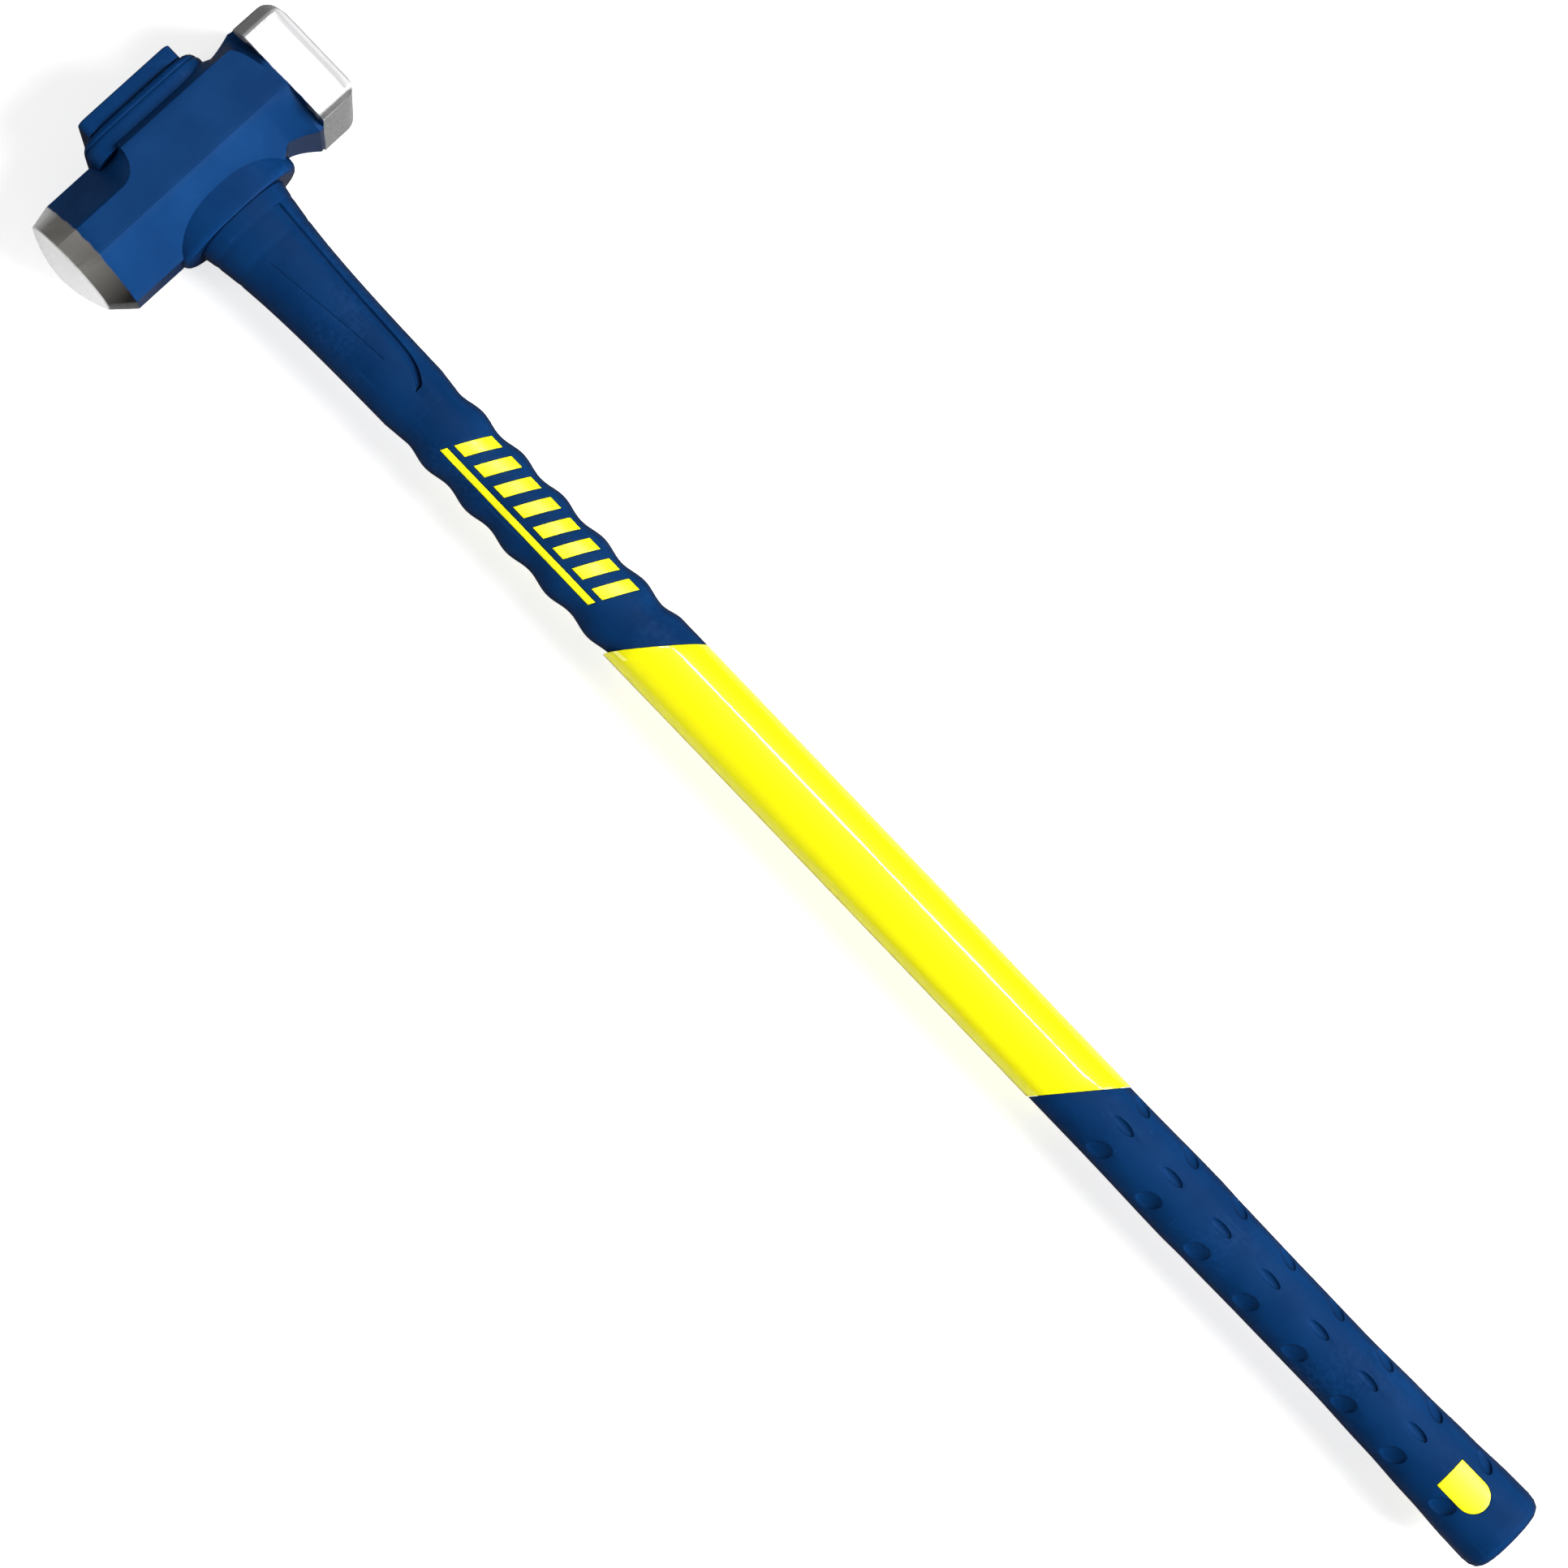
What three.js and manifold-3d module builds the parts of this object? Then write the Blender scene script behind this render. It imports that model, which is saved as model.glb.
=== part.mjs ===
// A 36 in sledgehammer lying on its side: a forged head, a fibreglass handle in a yellow jacket, a neck
// sleeve with finger ridges and a butt grip. Millimetres, +Z up, handle along X, head along Y, rim on +Y.
// Pieces are laid out in the handle's own frame: x runs from the cap's top to the butt, y along the head, and
// z up from the handle's middle plane. The group then moves them so that the head's lower flat is at z = 0.
import * as THREE from "three";
import { mergeVertices } from "three/addons/utils/BufferGeometryUtils.js";
import Module from "manifold-3d";

const wasm = await Module();
wasm.setup();

// Overall sizes
const LENGTH = 914.4;
const HEAD_LENGTH = 158;
const HEAD_WIDTH = 59.3; // along the handle
const HEAD_DEPTH = 61; // across the handle and the head
const JACKET_WIDTH = 37.8;
const JACKET_DEPTH = 27.6;

// Clearance between neighbouring pieces
const GAP = 0.3;

// Head
const END_CHAMFER = 21.4; // cap side, octagonal end
const CHEEK_CHAMFER = 7.6; // cap side, beside the eye
const HANDLE_CHAMFER = 22.8;
const RIM_CHAMFER = 8; // cap side of the flared rim
const RIM_HEEL = 3.5; // its handle side
const CHEEK_REACH = 21.6; // from the eye's middle to where the cap-side scoop starts
const WAIST_DIP = 6; // how far the handle side draws in before the flare
const CAP_DIP = 3.2; // the same on the cap side
const WAIST_RUN = 9;
const FLARE_RUN = 14;
const FLARE_LIP = 1; // painted flare, proud of the ground rim
const FLARE_DEPTH = 12; // of both facets where they meet the rim
const POCKET_RUN = 7; // where the cap-side chamfer opens out again before the rim
const POCKET_CHAMFER = 23;
const RIM_BAND = 24.75;
const RIM_ROUND = 8.5;
const RIM_CROWN = 2; // of the flared face
const FACE_CROWN = 6.2; // of the round face
const FACE_MARGIN = 4.65; // from the head's top and bottom to the round face, before its shift
const FACE_SIDE_MARGIN = 5.5; // from the head's flat sides
const FACE_SHIFT = 3.5; // of the round face, towards the cap
const BEVEL_LENGTH = 10.8;

// Handle
const SLEEVE_WALL = 3.9;
const CORE_WALL = 3;
const SLANT = 0.8; // how far the jacket's ends lean along the handle for each unit across
const NECK_LENGTH = 273.4; // collar to the jacket's shoulder, on the middle line
const GRIP_LENGTH = 283.2;
const BUTT_WALL = 11;
const PLUG_LENGTH = 10;

// Eye, cap and collar
const POTTING_WALL = 2.6;
const EYE_TAPER = 2; // the eye widens by this on each side at the cap end
const SEAL_HEIGHT = 6;
const CAP_HEIGHT = 8.1;
const CAP_WIDTH = 55.6;
const CAP_DEPTH = 48;
const TENON_LENGTH = 5;
const BEAD_HEIGHT = 6.9;
const BEAD_FLANK = 6; // how far the bead wraps over the head's upper chamfers
const SADDLE_WIDTH = 70; // bead and collar share it
const BEAD_DEPTH = 54;
const COLLAR_DEPTH = 39.6;
const COLLAR_FLANK = 17;
const COLLAR_DROP = 3;

// Neck sleeve
const NECK_TOP_WIDTH = 50.3;
const NECK_TOP_DEPTH = 38.2;
const NECK_FLARE_LENGTH = 33; // distance over which the neck's extra width falls to a third
const NECK_DRAW = 2.2; // how much narrower the neck's waist is than the jacket
const RIDGE_COUNT = 5;
const RIDGE_PITCH = 26.8;
const RIDGE_DEPTH = 2.05;
const RIDGE_START = 126.7; // collar to the first groove

// Inlays
const INLAY_DEPTH = 1.5;
const INLAY_PROUD = 0.15;
const BAR_COUNT = 8;
const BAR_PITCH = 12.9;
const BAR_WIDTH = 7;
const BAR_LEAN = 0.5;
const BAR_LOW = -3.6;
const BAR_HIGH = 12.4;
const BAR_START = 149; // collar to the first bar's middle
const RAIL_LOW = -9.6;
const RAIL_HIGH = -6.6;
const BADGE_WIDTH = 16.6;
const BADGE_LENGTH = 22.9;
const BADGE_FROM_BUTT = 20.1;

// Resolution
const SIDES = 24;
const EDGE_STEPS = 4; // along each edge of the head's sections
const ARC_STEPS = 5;
const RIDGE_STEPS = 4;

const headTop = CAP_HEIGHT + BEAD_HEIGHT;
const headBottom = headTop + HEAD_WIDTH;
const headMiddle = (headTop + headBottom) / 2;
const headHalf = HEAD_LENGTH / 2;
const depthHalf = HEAD_DEPTH / 2;
const faceReach = HEAD_WIDTH / 2 - FACE_MARGIN;
const faceRise = depthHalf - FACE_SIDE_MARGIN;
const collarEnd = headBottom + COLLAR_DROP;
const neckEnd = collarEnd + NECK_LENGTH;
const gripStart = LENGTH - GRIP_LENGTH;
const spigot = { w: JACKET_WIDTH - 2 * SLEEVE_WALL, d: JACKET_DEPTH - 2 * SLEEVE_WALL };
const core = { w: spigot.w - 2 * CORE_WALL, d: spigot.d - 2 * CORE_WALL };
const eye = { w: spigot.w + 2 * POTTING_WALL, d: spigot.d + 2 * POTTING_WALL };
const handleStart = CAP_HEIGHT + TENON_LENGTH;
const boreEnd = LENGTH - BUTT_WALL;

// Solids ---------------------------------------------------------------------------------------------------

function solidOf(geometry) {
  const bare = new THREE.BufferGeometry();
  bare.setAttribute("position", geometry.getAttribute("position"));
  if (geometry.index) bare.setIndex(geometry.index);
  const merged = mergeVertices(bare, 1e-4);
  const vertProperties = merged.attributes.position.array;
  const make = (triVerts) => new wasm.Manifold(new wasm.Mesh({ numProp: 3, vertProperties, triVerts }));
  const triangles = new Uint32Array(merged.index.array);
  const made = make(triangles);
  return made.volume() < 0 ? make(triangles.reverse()) : made;
}

// A closed skin over rings of points that all have the same count.
function skin(rings) {
  const count = rings[0].length;
  const points = rings.flat();
  const index = [];
  for (let r = 0; r + 1 < rings.length; r++) {
    for (let i = 0; i < count; i++) {
      const a = r * count + i;
      const b = r * count + ((i + 1) % count);
      index.push(a, b, b + count, a, b + count, a + count);
    }
  }
  for (const end of [0, rings.length - 1]) {
    const middle = rings[end].reduce((sum, p) => sum.add(p), new THREE.Vector3());
    points.push(middle.divideScalar(count));
    for (let i = 0; i < count; i++) {
      const a = end * count + i;
      const b = end * count + ((i + 1) % count);
      index.push(...(end ? [points.length - 1, a, b] : [points.length - 1, b, a]));
    }
  }
  return solidOf(new THREE.BufferGeometry().setFromPoints(points).setIndex(index));
}

function oval(x, w, d, squareness) {
  const ring = [];
  for (let i = 0; i < SIDES; i++) {
    const angle = (i / SIDES) * 2 * Math.PI;
    const c = Math.cos(angle);
    const s = Math.sin(angle);
    const y = (w / 2) * Math.sign(c) * Math.abs(c) ** (2 / squareness);
    const z = (d / 2) * Math.sign(s) * Math.abs(s) ** (2 / squareness);
    ring.push(new THREE.Vector3(x, y, z));
  }
  return ring;
}

// A solid along the handle through stations { x, w, d }, grown sideways by `grow`.
function loft(stations, grow = 0, squareness = 2.3) {
  return skin(stations.map(({ x, w, d }) => oval(x, w + 2 * grow, d + 2 * grow, squareness)));
}

function straight(from, to, size, grow = 0) {
  return loft([from, to].map((x) => ({ x, ...size })), grow);
}

function prism(shape, low, high) {
  const settings = { depth: high - low, bevelEnabled: false, curveSegments: 10 };
  return solidOf(new THREE.ExtrudeGeometry(shape, settings).translate(0, 0, low));
}

// Everything between two leaning planes that cross the middle line at `from` and `to`.
function leaningSlab(from, to) {
  const y = SADDLE_WIDTH;
  const corners = [[from - SLANT * y, -y], [to - SLANT * y, -y], [to + SLANT * y, y], [from + SLANT * y, y]];
  return prism(new THREE.Shape(corners.map(([a, b]) => new THREE.Vector2(a, b))), -HEAD_DEPTH, HEAD_DEPTH);
}

// Head -----------------------------------------------------------------------------------------------------

// One eight-cornered section of the head at y. cap and handle are each chamfer's [reach along the handle,
// depth], and `inset` draws the whole section in.
function headRing(y, { top = headTop, bottom = headBottom, cap, handle, inset = 0 }, grow) {
  const a = top + inset - grow;
  const b = bottom - inset + grow;
  const z = depthHalf - inset + grow;
  const corner = (inset - grow) * (2 - Math.SQRT2);
  const [capX, capZ] = cap.map((leg) => Math.max(leg - corner, 1));
  const [handleX, handleZ] = handle.map((leg) => Math.max(leg - corner, 1));
  const upper = [[a, z - capZ], [a + capX, z], [b - handleX, z], [b, z - handleZ]];
  const lower = upper.map(([px, pz]) => [px, -pz]).reverse();
  return [...upper, ...lower].map(([px, pz]) => new THREE.Vector3(px, y, pz));
}

function arc(steps, visit) {
  return Array.from({ length: steps + 1 }, (_, i) => visit((i / steps) * (Math.PI / 2)));
}

const even = (leg) => [leg, leg];
const rimStart = headHalf - RIM_BAND;
const flareStart = rimStart - FLARE_RUN - 3;

// From the octagonal end to the cheek, where the cap-side chamfer runs out in a scoop.
function scoopRings(grow) {
  const scoop = END_CHAMFER - CHEEK_CHAMFER;
  const run = scoop * 0.83;
  return arc(ARC_STEPS, (t) => headRing(-CHEEK_REACH - run * (1 - Math.sin(t)) - grow,
    { cap: even(END_CHAMFER - scoop * (1 - Math.cos(t))), handle: even(HANDLE_CHAMFER) }, grow));
}

// Both sides draw in to a waist beside the collar and the bead.
function waistRings(grow) {
  return arc(ARC_STEPS - 1, (t) => {
    const share = Math.sin(t) ** 2;
    const dip = WAIST_DIP * share;
    const capDip = CAP_DIP * share;
    return headRing(flareStart - WAIST_RUN * 0.9 * Math.cos(t) ** 2, {
      top: headTop + capDip,
      bottom: headBottom - dip,
      cap: [CHEEK_CHAMFER - capDip, CHEEK_CHAMFER],
      handle: even(HANDLE_CHAMFER - dip),
    }, grow);
  });
}

// The flare: the handle-side facet keeps its upper edge and turns out to meet the rim's corner.
function flareRings(grow) {
  const { lerp } = THREE.MathUtils;
  return [0.2, 0.4, 0.6, 0.8, 1].map((u) => {
    const out = u ** 1.4;
    const pocket = Math.max(0, (u - 1) * FLARE_RUN / POCKET_RUN + 1) ** 2;
    const top = headTop + lerp(CAP_DIP, -FLARE_LIP, out);
    const bottom = headBottom - lerp(WAIST_DIP, -FLARE_LIP, out);
    const capEdge = headTop + lerp(CHEEK_CHAMFER, POCKET_CHAMFER, pocket);
    const handleEdge = headBottom - HANDLE_CHAMFER;
    return headRing(flareStart + FLARE_RUN * u, {
      top,
      bottom,
      cap: [capEdge - top, lerp(CHEEK_CHAMFER, FLARE_DEPTH, out)],
      handle: [bottom - handleEdge, lerp(HANDLE_CHAMFER - WAIST_DIP, FLARE_DEPTH, out)],
    }, grow);
  });
}

// The ground rim: straight sides, a rounded edge and a slightly crowned face.
function rimRings(grow) {
  const rim = { cap: even(RIM_CHAMFER), handle: even(RIM_HEEL) };
  const face = headHalf - RIM_CROWN + grow;
  return [
    headRing(rimStart, rim, grow),
    ...arc(ARC_STEPS, (t) => {
      const inset = RIM_ROUND * (1 - Math.cos(t));
      return headRing(face - RIM_ROUND * (1 - Math.sin(t)), { ...rim, inset }, grow);
    }),
    headRing(face + RIM_CROWN * 0.75, { ...rim, inset: (RIM_ROUND + depthHalf) / 2 }, grow),
    headRing(face + RIM_CROWN, { ...rim, inset: depthHalf * 0.85 }, grow),
  ];
}

// The same section with each of its edges cut into equal steps.
function divided(ring) {
  return ring.flatMap((corner, i) => {
    const next = ring[(i + 1) % ring.length];
    return Array.from({ length: EDGE_STEPS }, (_, j) => corner.clone().lerp(next, j / EDGE_STEPS));
  });
}

// The ground end: a crowned round face and a bevel that runs out to the octagon.
function groundRings(octagon, grow) {
  const face = -headHalf - grow;
  const crown = [0.02, 0.3, 0.55, 0.8, 1].map((share) => octagon.map((point) => {
    const angle = Math.atan2(point.z, point.x - headMiddle);
    const x = headMiddle - FACE_SHIFT + (faceReach + grow) * share * Math.cos(angle);
    return new THREE.Vector3(x, face + FACE_CROWN * share ** 2, (faceRise + grow) * share * Math.sin(angle));
  }));
  return [...crown, octagon];
}

// The forging's outside, grown by `grow` so that its neighbours can be cut clear of it.
function headEnvelope(grow) {
  const octagon = { cap: even(END_CHAMFER), handle: even(HANDLE_CHAMFER) };
  const cheek = { cap: even(CHEEK_CHAMFER), handle: even(HANDLE_CHAMFER) };
  const lip = {
    top: headTop - FLARE_LIP / 2,
    bottom: headBottom + FLARE_LIP / 2,
    cap: [POCKET_CHAMFER + FLARE_LIP / 2, FLARE_DEPTH],
    handle: [HANDLE_CHAMFER + FLARE_LIP / 2, FLARE_DEPTH],
  };
  const bevelEnd = FACE_CROWN + BEVEL_LENGTH - headHalf;
  const rings = [
    ...scoopRings(grow),
    headRing(flareStart - WAIST_RUN, cheek, grow),
    ...waistRings(grow),
    ...flareRings(grow),
    headRing(rimStart - 0.4, lip, grow),
    ...rimRings(grow),
  ];
  return skin([...groundRings(divided(headRing(bevelEnd, octagon, grow)), grow), ...rings.map(divided)]);
}

function eyeHole(grow) {
  const stations = [
    { x: headTop - GAP - 2, w: eye.w + 2 * EYE_TAPER, d: eye.d + 2 * EYE_TAPER },
    { x: headTop, w: eye.w + 2 * EYE_TAPER, d: eye.d + 2 * EYE_TAPER },
    { x: headBottom, ...eye },
    { x: headBottom + 2, ...eye },
  ];
  return loft(stations, grow);
}

function slice(from, to) {
  const y = SADDLE_WIDTH;
  const corners = [[from, -y], [to, -y], [to, y], [from, y]];
  return prism(new THREE.Shape(corners.map(([a, b]) => new THREE.Vector2(a, b))), -HEAD_DEPTH, HEAD_DEPTH);
}

const hammerHead = headEnvelope(0).subtract(eyeHole(0));
const headClearance = headEnvelope(GAP);

// Inside the handle ----------------------------------------------------------------------------------------

const coreRod = straight(handleStart + GAP, boreEnd - PLUG_LENGTH - GAP, core, -GAP);
const buttPlug = straight(boreEnd - PLUG_LENGTH, boreEnd - GAP, core, -GAP);
const coreBore = straight(handleStart - 1, LENGTH + 1, core);

function eyeFilling(from, to) {
  return eyeHole(-GAP).intersect(slice(from, to)).subtract(straight(0, LENGTH, spigot, GAP));
}

const sealTop = headBottom - SEAL_HEIGHT;
const eyePotting = eyeFilling(headTop + 1, sealTop - GAP);
const eyeSeal = eyeFilling(sealTop, headBottom - GAP);

const handleJacket = straight(neckEnd - 60, gripStart + 60, { w: JACKET_WIDTH, d: JACKET_DEPTH })
  .intersect(leaningSlab(neckEnd + GAP, gripStart - GAP))
  .add(straight(handleStart + GAP, boreEnd - GAP, spigot))
  .subtract(coreBore);

// Cap, bead and collar -------------------------------------------------------------------------------------

const tenon = { w: spigot.w + 4, d: spigot.d + 4 };

function makeCap() {
  const round = 1.6;
  const edge = arc(3, (t) => ({
    x: round * (1 - Math.sin(t)),
    w: CAP_WIDTH - 2 * round * (1 - Math.cos(t)),
    d: CAP_DEPTH - 2 * round * (1 - Math.cos(t)),
  })).reverse();
  const block = [...edge, { x: CAP_HEIGHT - GAP, w: CAP_WIDTH, d: CAP_DEPTH }];
  return loft(block, 0, 8).add(straight(CAP_HEIGHT - 1, handleStart, tenon));
}

function makeBead() {
  const flank = headTop + BEAD_FLANK;
  // Distance past the cap and how far the outline is drawn in
  const start = [[0, 4.5], [1.1, 2], [3, 0.8], [5, 0]].map(([x, inset]) => [CAP_HEIGHT + x, inset]);
  const steps = [...start, [flank - 1.5, 0], [flank, 1]];
  const stations = steps.map(([x, inset]) => ({
    x,
    w: SADDLE_WIDTH - 2 * inset,
    d: BEAD_DEPTH - inset,
  }));
  return loft(stations, 0, 6).subtract(headClearance).subtract(straight(0, LENGTH, tenon, GAP));
}

function makeCollar() {
  const lip = [[1.8, 0], [0.7, 0.8], [0, 2.6]].map(([back, inset]) => [collarEnd - back, inset]);
  const stations = [[headBottom - COLLAR_FLANK, 0], ...lip].map(([x, inset]) => ({
    x,
    w: SADDLE_WIDTH - 2 * inset,
    d: COLLAR_DEPTH - inset / 2,
  }));
  const outside = loft(stations).subtract(headClearance).subtract(straight(0, LENGTH, spigot, GAP));
  return outside.subtract(eyeHole(GAP).intersect(slice(0, headBottom + GAP)));
}

// Neck sleeve ----------------------------------------------------------------------------------------------

function neckStations() {
  const start = collarEnd + GAP;
  const ridgeStart = collarEnd + RIDGE_START;
  const valley = { w: JACKET_WIDTH - 0.6 - 2 * RIDGE_DEPTH, d: JACKET_DEPTH };
  const waist = JACKET_WIDTH - NECK_DRAW;
  const taper = [0, 0.1, 0.2, 0.33, 0.48, 0.66, 0.86].map((share) => {
    const along = share * RIDGE_START;
    const fall = Math.exp(-along / NECK_FLARE_LENGTH);
    return {
      x: start + along,
      w: waist + (NECK_TOP_WIDTH - waist) * fall,
      d: JACKET_DEPTH + (NECK_TOP_DEPTH - JACKET_DEPTH) * fall,
    };
  });
  const ridges = Array.from({ length: RIDGE_COUNT * RIDGE_STEPS + 1 }, (_, i) => {
    const turn = i / RIDGE_STEPS;
    const rise = RIDGE_DEPTH * (1 - Math.cos(turn * 2 * Math.PI));
    return { x: ridgeStart + turn * RIDGE_PITCH, w: valley.w + rise, d: valley.d };
  });
  const shoulder = { w: JACKET_WIDTH - 0.2, d: JACKET_DEPTH };
  const last = ridges.at(-1).x;
  const end = Math.max(neckEnd + 60, last + 20);
  return [...taper, ...ridges, { x: last + 10, ...shoulder }, { x: end, ...shoulder }];
}

function neckOutside(grow) {
  return loft(neckStations(), grow);
}

// Grip -----------------------------------------------------------------------------------------------------

function gripStations() {
  // Distance from the butt, width and depth
  const shape = [
    [GRIP_LENGTH + 60, 37, 27.4], [263, 36.9, 27.4], [210, 38, 27.8], [194, 37.2, 27.6], [155, 36.6, 27.4],
    [111, 36.4, 27.6], [75, 38.1, 28.6], [45, 40.3, 30.2], [18, 42.7, 32.2], [8, 43.1, 32.8], [4, 42.2, 32],
    [1.4, 39.8, 29.6], [0, 36, 25.8],
  ];
  const extra = JACKET_WIDTH - 37.8;
  const thicker = JACKET_DEPTH - 27.6;
  return shape.map(([back, w, d]) => ({ x: LENGTH - back, w: w + extra, d: d + thicker }));
}

function gripOutside(grow) {
  return loft(gripStations(), grow);
}

// Inlays ---------------------------------------------------------------------------------------------------

function barShape(from, to, low, high, grow) {
  const out = grow * Math.hypot(1, BAR_LEAN);
  const a = low - grow;
  const b = high + grow;
  const corners = [[from - out, a], [to + out, a], [to + out, b], [from - out, b]];
  return new THREE.Shape(corners.map(([x, y]) => new THREE.Vector2(x + BAR_LEAN * y, y)));
}

function badgeShape(grow) {
  const end = LENGTH - BADGE_FROM_BUTT;
  const r = BADGE_WIDTH / 2;
  const bend = end - r;
  const start = end - BADGE_LENGTH - grow;
  const shape = new THREE.Shape();
  shape.moveTo(start, -r - grow);
  shape.absarc(bend, 0, r + grow, -Math.PI / 2, Math.PI / 2, false);
  shape.lineTo(start, r + grow);
  return shape;
}

function inlayOutlines() {
  const first = collarEnd + BAR_START;
  const last = first + (BAR_COUNT - 1) * BAR_PITCH;
  const outlines = new Map();
  outlines.set("rail", (grow) =>
    barShape(first - BAR_WIDTH / 2, last + BAR_WIDTH / 2, RAIL_LOW, RAIL_HIGH, grow));
  for (let i = 0; i < BAR_COUNT; i++) {
    const middle = first + i * BAR_PITCH;
    outlines.set(`bar_${i + 1}`, (grow) =>
      barShape(middle - BAR_WIDTH / 2, middle + BAR_WIDTH / 2, BAR_LOW, BAR_HIGH, grow));
  }
  return outlines;
}

const SIDE_SPANS = { front: [1, HEAD_DEPTH], back: [-HEAD_DEPTH, -1] };

// Cuts a pocket for each outline into the host and returns the host with the inlays that fill the pockets.
function inlay(host, outside, outlines) {
  const proud = outside(INLAY_PROUD);
  const pocketFloor = outside(-INLAY_DEPTH);
  const inlayFloor = outside(GAP - INLAY_DEPTH);
  const inlays = new Map();
  for (const [side, [low, high]] of Object.entries(SIDE_SPANS)) {
    for (const [name, shape] of outlines) {
      const label = name.includes("_") ? name.replace("_", `_${side}_`) : `${name}_${side}`;
      host = host.subtract(prism(shape(GAP), low, high).subtract(pocketFloor));
      inlays.set(label, prism(shape(0), low, high).intersect(proud).subtract(inlayFloor));
    }
  }
  return { host, inlays };
}

const neckBlank = neckOutside(0)
  .intersect(leaningSlab(-LENGTH, neckEnd))
  .subtract(straight(0, LENGTH, spigot, GAP));
const neck = inlay(neckBlank, neckOutside, inlayOutlines());

const gripBlank = gripOutside(0)
  .intersect(leaningSlab(gripStart, 2 * LENGTH))
  .subtract(straight(0, boreEnd, spigot, GAP));
const grip = inlay(gripBlank, gripOutside, new Map([["badge", badgeShape]]));

// Assembly -------------------------------------------------------------------------------------------------

function material(color, roughness, metalness = 0) {
  return new THREE.MeshStandardMaterial({ color, roughness, metalness });
}

const paint = material(0x17427a, 0.4, 0.3);
const rubber = material(0x17407a, 0.6);
const yellow = material(0xffff12, 0.35);
const glass = material(0xd8d2b0, 0.5);
const epoxy = material(0xb08a4a, 0.3);
const dark = material(0x20242a, 0.7);

const hammer = new THREE.Group();
hammer.position.set(-LENGTH / 2, 0, depthHalf);

function place(name, solid, finish) {
  const { vertProperties, triVerts } = solid.getMesh();
  const geometry = new THREE.BufferGeometry();
  geometry.setAttribute("position", new THREE.BufferAttribute(vertProperties, 3));
  geometry.setIndex(new THREE.BufferAttribute(triVerts, 1));
  geometry.computeVertexNormals();
  const mesh = new THREE.Mesh(geometry, finish.clone());
  mesh.name = name;
  hammer.add(mesh);
}

place("hammer_head", hammerHead, paint);
place("core_rod", coreRod, glass);
place("handle_jacket", handleJacket, yellow);
place("eye_potting", eyePotting, epoxy);
place("eye_seal", eyeSeal, dark);
place("eye_cap", makeCap(), rubber);
place("cap_gasket", makeBead(), rubber);
place("shock_collar", makeCollar(), rubber);
place("neck_sleeve", neck.host, rubber);
place("grip_sleeve", grip.host, rubber);
place("butt_plug", buttPlug, dark);
for (const [name, solid] of [...neck.inlays, ...grip.inlays]) place(name, solid, yellow);

export default hammer;
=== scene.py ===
"""A 36 in sledgehammer lying on its side: forged head, yellow fibreglass handle, blue neck sleeve and grip.

The handle runs along X from the cap to the butt, the head along Y with its flared rim on +Y, and Z is up.
Lengths in the tables of stations are millimetres, and `MM` turns them into metres."""
import math

import bmesh
import bpy
from mathutils import Matrix, Vector


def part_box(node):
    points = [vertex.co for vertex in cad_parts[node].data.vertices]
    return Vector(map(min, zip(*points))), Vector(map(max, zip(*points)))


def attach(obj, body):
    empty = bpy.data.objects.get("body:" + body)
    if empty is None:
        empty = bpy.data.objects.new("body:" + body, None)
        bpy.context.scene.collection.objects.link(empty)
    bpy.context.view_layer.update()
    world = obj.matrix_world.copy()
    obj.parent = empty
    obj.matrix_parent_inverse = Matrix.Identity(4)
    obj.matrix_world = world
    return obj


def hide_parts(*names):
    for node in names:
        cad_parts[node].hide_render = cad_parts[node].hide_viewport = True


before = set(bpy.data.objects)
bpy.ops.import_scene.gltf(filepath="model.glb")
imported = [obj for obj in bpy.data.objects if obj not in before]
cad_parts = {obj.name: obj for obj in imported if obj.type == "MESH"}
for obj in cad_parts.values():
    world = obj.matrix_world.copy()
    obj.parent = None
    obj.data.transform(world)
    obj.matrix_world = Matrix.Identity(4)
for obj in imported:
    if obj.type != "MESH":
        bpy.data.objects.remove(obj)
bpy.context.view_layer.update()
MM = 0.001

# Places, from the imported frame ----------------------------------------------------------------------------

head_low, head_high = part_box("hammer_head")
cap_low, cap_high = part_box("eye_cap")
bead_low, bead_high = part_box("cap_gasket")
collar_low, collar_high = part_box("shock_collar")
neck_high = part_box("neck_sleeve")[1]
jacket_low, jacket_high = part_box("handle_jacket")
grip_low, grip_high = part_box("grip_sleeve")
badge_low, badge_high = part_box("badge_front")
first_bar_low, first_bar_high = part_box("bar_front_1")

GAP = 0.3 * MM
LIP = 1 * MM
SLANT = 0.8
axis_z = (head_low.z + head_high.z) / 2
head_top = head_low.x + LIP
head_bottom = head_high.x - LIP
head_middle = (head_top + head_bottom) / 2
half_length = head_high.y
half_depth = (head_high.z - head_low.z) / 2
butt_x = grip_high.x
collar_end = collar_high.x
jacket_width = jacket_high.y - jacket_low.y
jacket_depth = jacket_high.z - jacket_low.z
neck_end = neck_high.x - SLANT * jacket_width / 2
grip_start = grip_low.x + SLANT * jacket_width / 2
SLEEVE_WALL = 3.9 * MM
spigot = (jacket_width - 2 * SLEEVE_WALL, jacket_depth - 2 * SLEEVE_WALL)
core = (spigot[0] - 6 * MM, spigot[1] - 6 * MM)
POTTING_WALL = 2.6 * MM

# Modelling helpers ----------------------------------------------------------------------------------------

ops = bpy.ops


def deselect_everything():
    if bpy.context.object and bpy.context.object.mode != "OBJECT":
        ops.object.mode_set(mode="OBJECT")
    ops.object.select_all(action="DESELECT")


def make_active(piece):
    deselect_everything()
    bpy.context.view_layer.objects.active = piece
    piece.select_set(True)


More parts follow.
